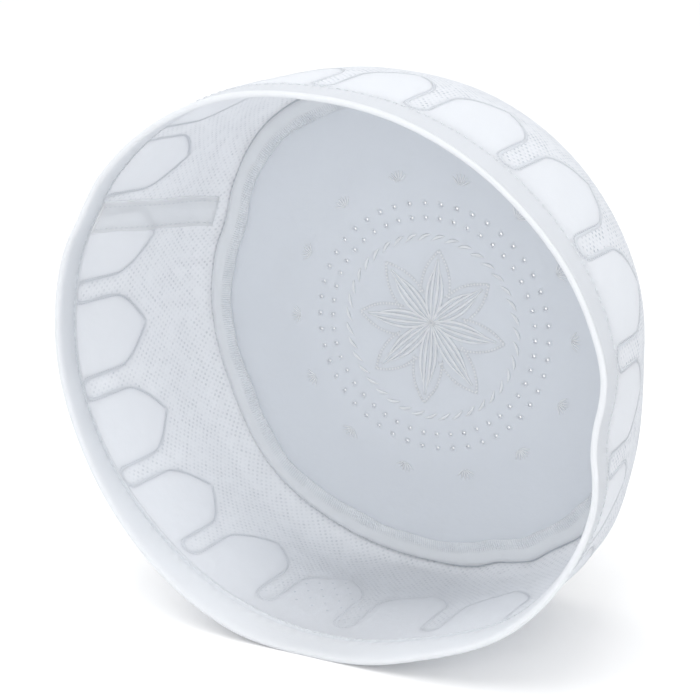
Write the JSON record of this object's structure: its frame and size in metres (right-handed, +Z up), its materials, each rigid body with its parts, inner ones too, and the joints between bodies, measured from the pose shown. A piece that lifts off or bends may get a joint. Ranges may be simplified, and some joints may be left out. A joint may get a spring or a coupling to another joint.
{
  "type": "kufi",
  "caption": "Soft white cotton kufi, a round flat-topped cap with a deep band, turned hem and pierced crown, lying on its side with its open end to the front.",
  "frame": {"origin": "under the middle of the cap's box, on the surface that it lies on", "axes": "+Z up, +Y from the open end to the crown, level, and 2.3 degrees off the cap's own axis, which leans with the rim up, +X to the right seen from the open end"},
  "size_m": [0.1928, 0.0874, 0.1821],
  "materials": {
    "band_cotton": "white cotton with tone-on-tone machine embroidery and a net ground",
    "hem_cotton": "plain white cotton, turned and stitched",
    "crown_cotton": "white cotton with a star in satin stitch and two rings of eyelets",
    "seam_cotton": "raw cotton edges overlocked with white thread"
  },
  "bodies": {
    "root": {"band": "band_cotton", "rim_hem": "hem_cotton", "crown": "crown_cotton", "seam_allowance": "seam_cotton", "band_lap": "seam_cotton"}
  },
  "joints": []
}
